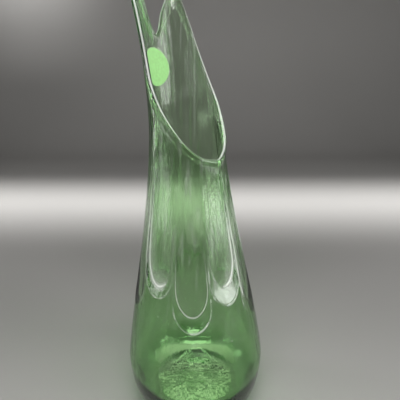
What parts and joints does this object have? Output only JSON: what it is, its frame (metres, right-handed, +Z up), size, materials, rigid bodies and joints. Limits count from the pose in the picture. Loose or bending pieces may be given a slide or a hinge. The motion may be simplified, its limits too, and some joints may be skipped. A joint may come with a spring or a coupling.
{
  "type": "art glass vase",
  "caption": "Tall blown glass vase with a bulbous foot, ten pressed flutes, a leaning neck and a slanted mouth drawn up into fingers.",
  "frame": {"origin": "middle of the vase's box on the plane of the foot ring, where it stands on the table", "axes": "+Z up along the vase's height; the low lip of the mouth faces +X and -Y, the tall fingers stand at -X and +Y"},
  "size_m": [0.0788, 0.0788, 0.2494],
  "materials": {
    "green_glass": "clear fire-polished",
    "dot_adhesive": "dull gum",
    "dot_paper": "matt coated paper"
  },
  "bodies": {
    "root": {"glass_body": "green_glass", "price_dot_adhesive": "dot_adhesive", "price_dot_paper": "dot_paper"}
  },
  "joints": []
}
